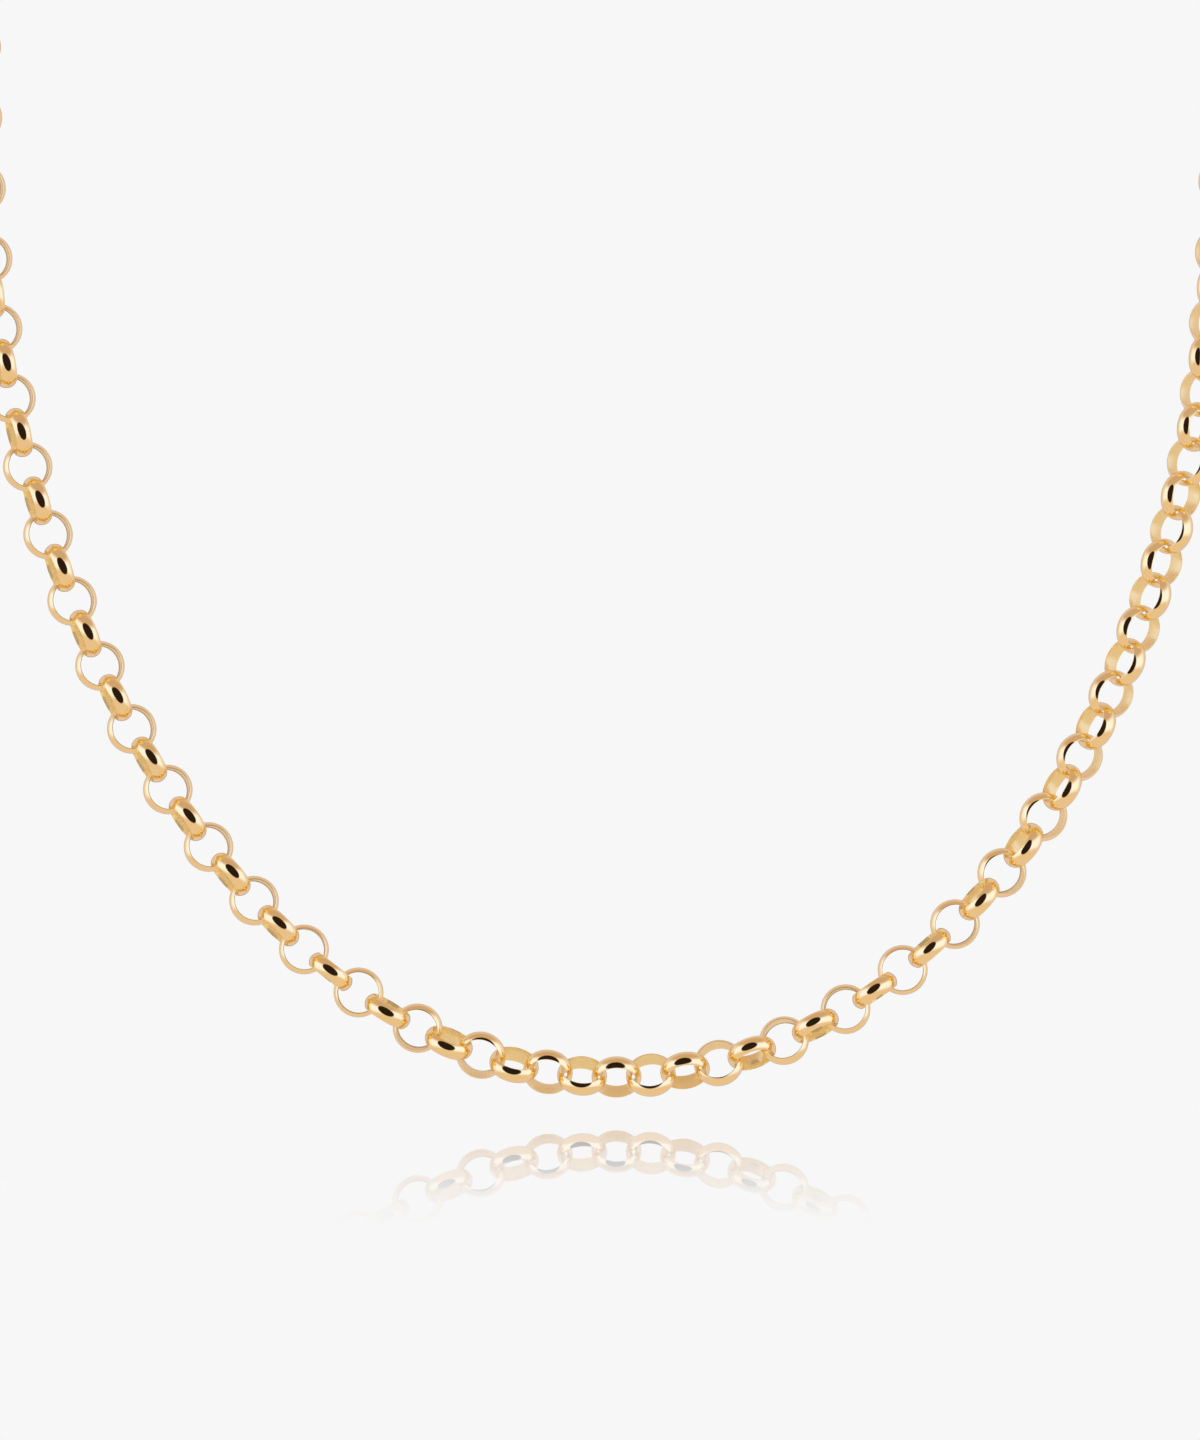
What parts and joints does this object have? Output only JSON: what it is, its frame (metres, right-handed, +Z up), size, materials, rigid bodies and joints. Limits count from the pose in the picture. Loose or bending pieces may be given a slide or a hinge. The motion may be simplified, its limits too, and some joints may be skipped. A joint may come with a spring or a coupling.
{
  "type": "rolo chain necklace",
  "caption": "Polished rolo chain of round domed-band links, each rolled a quarter turn from the last, hanging as when worn and closed behind the neck by a plain oval clasp",
  "frame": {"origin": "middle of the neck hollow, level with the stretch of chain behind the neck", "axes": "+Z up, -Y the way the wearer faces, +X to the right of the picture, which is the wearer's left"},
  "size_m": [0.1081, 0.0946, 0.1217],
  "materials": {
    "links": "polished, gold plated",
    "clasp": "polished, gold plated"
  },
  "bodies": {
    "root": {"chain_left": "links", "chain_right": "links", "clasp": "clasp"}
  },
  "joints": []
}
